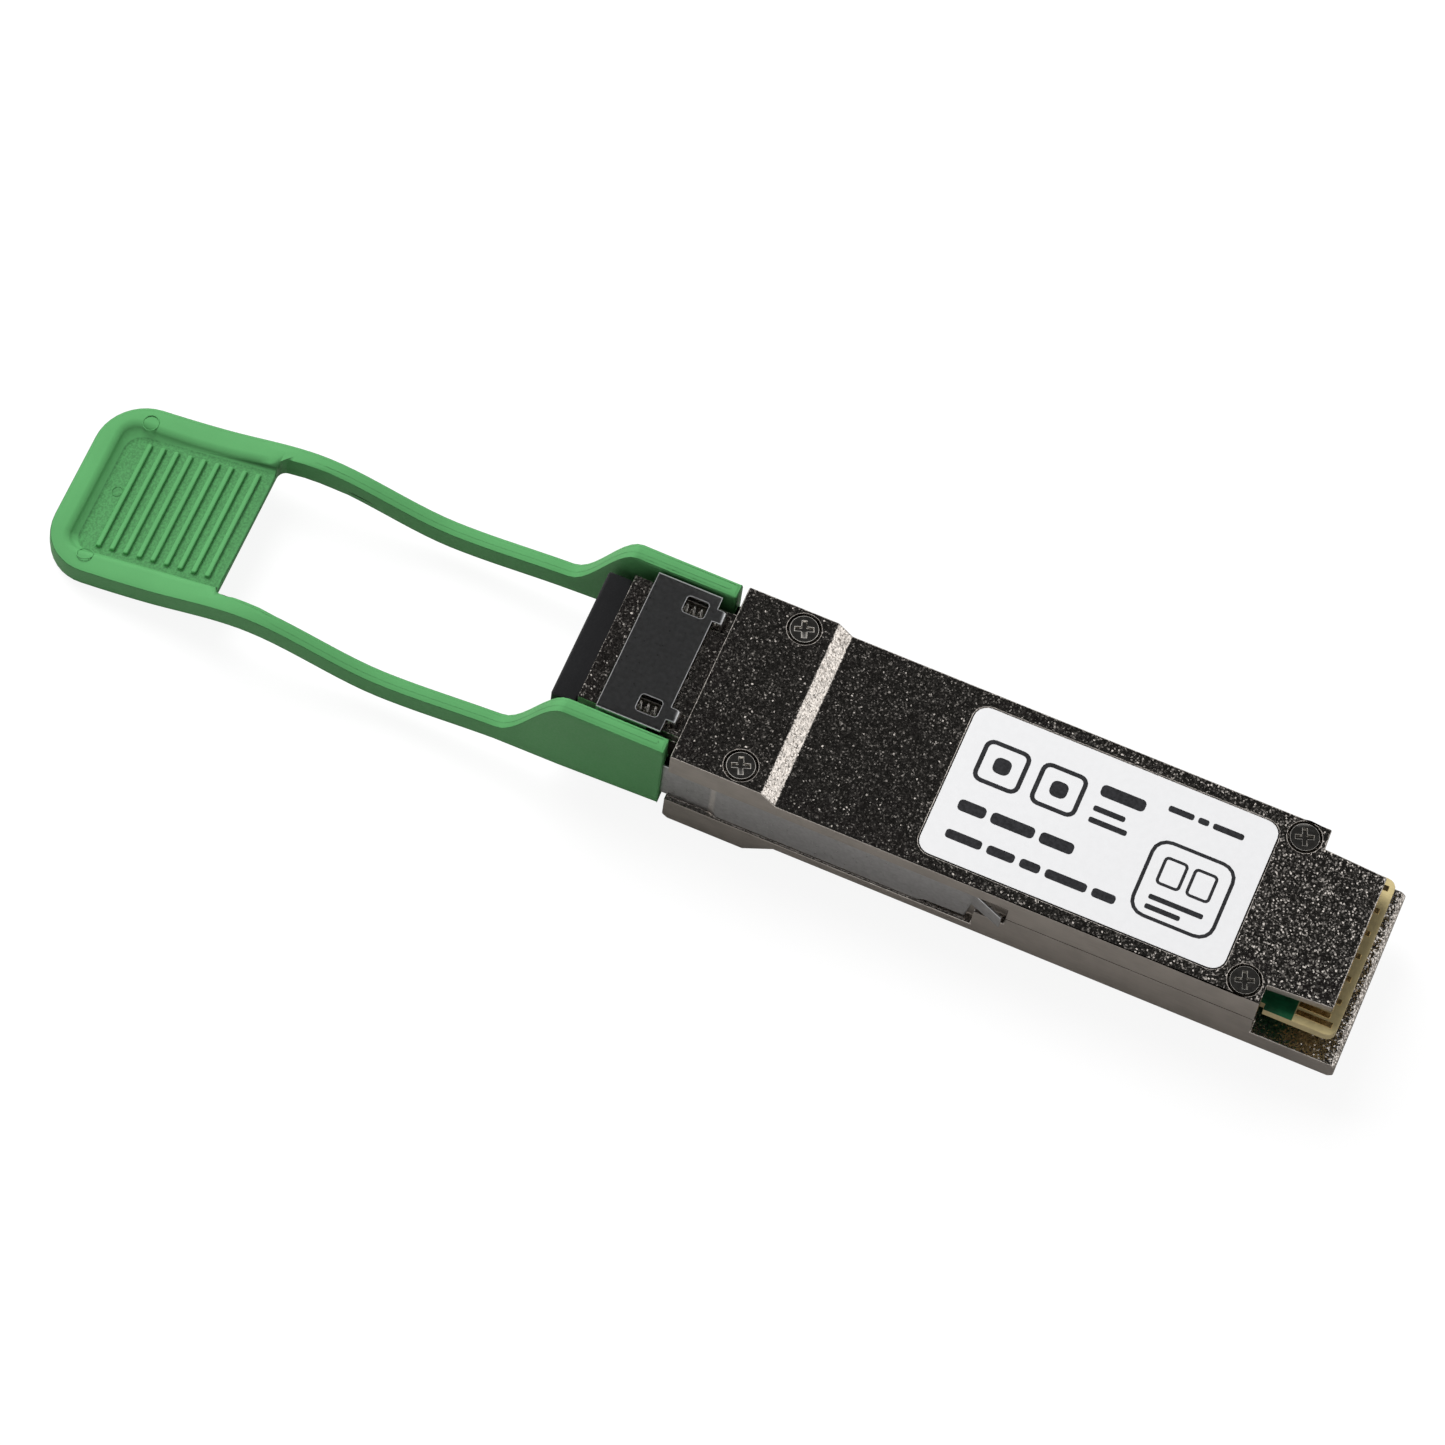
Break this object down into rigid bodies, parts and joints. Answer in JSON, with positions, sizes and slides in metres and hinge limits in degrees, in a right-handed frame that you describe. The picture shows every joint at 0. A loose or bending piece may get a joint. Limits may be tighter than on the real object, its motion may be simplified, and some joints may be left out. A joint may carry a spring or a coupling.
{
  "type": "optical transceiver module",
  "caption": "Pluggable duplex optical transceiver module with a die-cast housing, a card-edge connector and a sprung sheet-metal latch worked by a moulded loop pull tab.",
  "frame": {"origin": "middle of the bounding box in X and Y, at the lowest point (the end of the pull tab's grip)", "axes": "+X along the module towards the card edge, +Y across it, +Z out of the label face; the pull tab points to -X"},
  "size_m": [0.1254, 0.0198, 0.0143],
  "materials": {
    "cast_nickel": "shot-blasted die-cast metal with nickel plating, fine sparkle",
    "spring_steel": "smooth rolled stainless sheet",
    "screw_nickel": "bright nickel",
    "black_plastic": "moulded, matte",
    "green_plastic": "moulded, satin",
    "label_paper": "white polyester label",
    "board_green": "solder mask over glass epoxy",
    "flex_amber": "polyimide film",
    "gold_plate": "gold plated",
    "chip_black": "moulded epoxy",
    "ferrite_grey": "pressed ferrite",
    "thermal_grey": "filled silicone pad",
    "gasket_grey": "conductive elastomer"
  },
  "bodies": {
    "module_body": {"upper_cover": "cast_nickel", "lower_housing": "cast_nickel", "gasket_left": "gasket_grey", "gasket_right": "gasket_grey", "label": "label_paper", "screw_nose_left": "screw_nickel", "screw_nose_right": "screw_nickel", "screw_rear_left": "screw_nickel", "screw_rear_right": "screw_nickel", "lc_receptacle": "black_plastic", "transmitter_barrel": "screw_nickel", "receiver_barrel": "screw_nickel", "transmitter_can": "gold_plate", "receiver_can": "gold_plate", "transmitter_flex": "flex_amber", "receiver_flex": "flex_amber", "barrel_clip": "spring_steel", "main_board": "board_green", "signal_processor": "chip_black", "laser_driver": "chip_black", "receive_amplifier": "chip_black", "microcontroller": "chip_black", "clock_oscillator": "gold_plate", "power_inductor_1": "ferrite_grey", "power_inductor_2": "ferrite_grey", "power_regulator": "chip_black", "processor_pad": "thermal_grey", "optics_pad": "thermal_grey", "return_spring_left": "spring_steel", "return_spring_right": "spring_steel"},
    "release_latch": {"latch_bracket": "spring_steel", "pull_tab": "green_plastic"}
  },
  "joints": [
    {"name": "release_slide", "type": "slide", "parent": "module_body", "child": "release_latch", "axis": [-1, 0, 0], "range_m": [0, 0.0025], "stiffness_N_per_m": 800, "springref_m": -0.0025, "deforming": ["return_spring_left", "return_spring_right"]}
  ]
}
